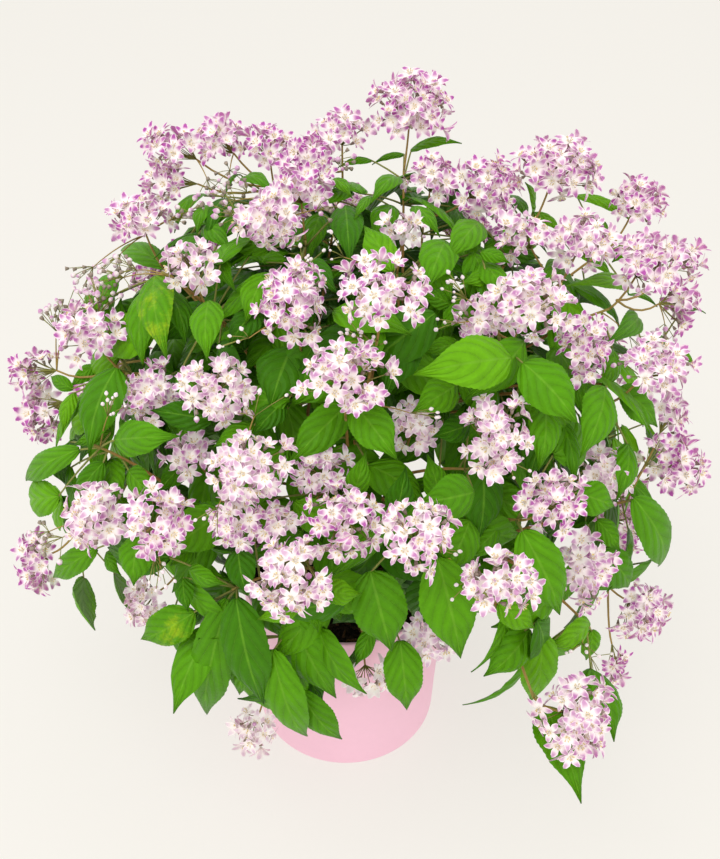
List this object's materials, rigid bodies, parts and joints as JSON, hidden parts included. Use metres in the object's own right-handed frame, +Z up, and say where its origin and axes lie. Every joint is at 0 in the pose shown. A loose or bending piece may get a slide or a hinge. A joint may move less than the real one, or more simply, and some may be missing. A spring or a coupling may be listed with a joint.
{
  "type": "potted deutzia",
  "caption": "Small potted deutzia: a dome of arching leafy canes with bunches of star-shaped pink and mauve flowers, standing in a plain round pink pot.",
  "frame": {"origin": "centre of the pot's flat foot, on the surface it stands on", "axes": "+Z up, -Y towards the side that the picture shows"},
  "size_m": [0.6088, 0.552, 0.5758],
  "materials": {
    "pot": "matte pink moulded pot",
    "soil": "dark crumbly bark compost",
    "foliage": "fresh green leaves on brown stems",
    "blossom": "soft mauve-pink and white petals"
  },
  "bodies": {
    "root": {"pot": "pot", "soil": "soil", "leafy_cane_01": "foliage", "leafy_cane_02": "foliage", "leafy_cane_03": "foliage", "leafy_cane_04": "foliage", "leafy_cane_05": "foliage", "leafy_cane_06": "foliage", "leafy_cane_07": "foliage", "leafy_cane_08": "foliage", "leafy_cane_09": "foliage", "leafy_cane_10": "foliage", "flower_head_01": "blossom", "flower_head_02": "blossom", "flower_head_03": "blossom", "flower_head_04": "blossom", "flower_head_05": "blossom", "flower_head_06": "blossom", "flower_head_07": "blossom", "flower_head_08": "blossom", "flower_head_09": "blossom", "flower_head_10": "blossom", "flower_head_11": "blossom", "flower_head_12": "blossom", "flower_head_13": "blossom", "flower_head_14": "blossom", "flower_head_15": "blossom", "flower_head_16": "blossom", "flower_head_17": "blossom", "flower_head_18": "blossom", "flower_head_19": "blossom", "flower_head_20": "blossom", "flower_head_21": "blossom", "flower_head_22": "blossom", "flower_head_23": "blossom", "flower_head_24": "blossom", "flower_head_25": "blossom", "flower_head_26": "blossom", "flower_head_27": "blossom", "flower_head_28": "blossom", "flower_head_29": "blossom", "flower_head_30": "blossom", "flower_head_31": "blossom", "flower_head_32": "blossom", "flower_head_33": "blossom", "flower_head_34": "blossom", "flower_head_35": "blossom", "flower_head_36": "blossom", "flower_head_37": "blossom", "flower_head_38": "blossom", "flower_head_39": "blossom", "flower_head_40": "blossom", "flower_head_41": "blossom", "flower_head_42": "blossom", "flower_head_43": "blossom", "flower_head_44": "blossom", "flower_head_45": "blossom", "flower_head_46": "blossom", "flower_head_47": "blossom", "flower_head_48": "blossom"}
  },
  "joints": []
}
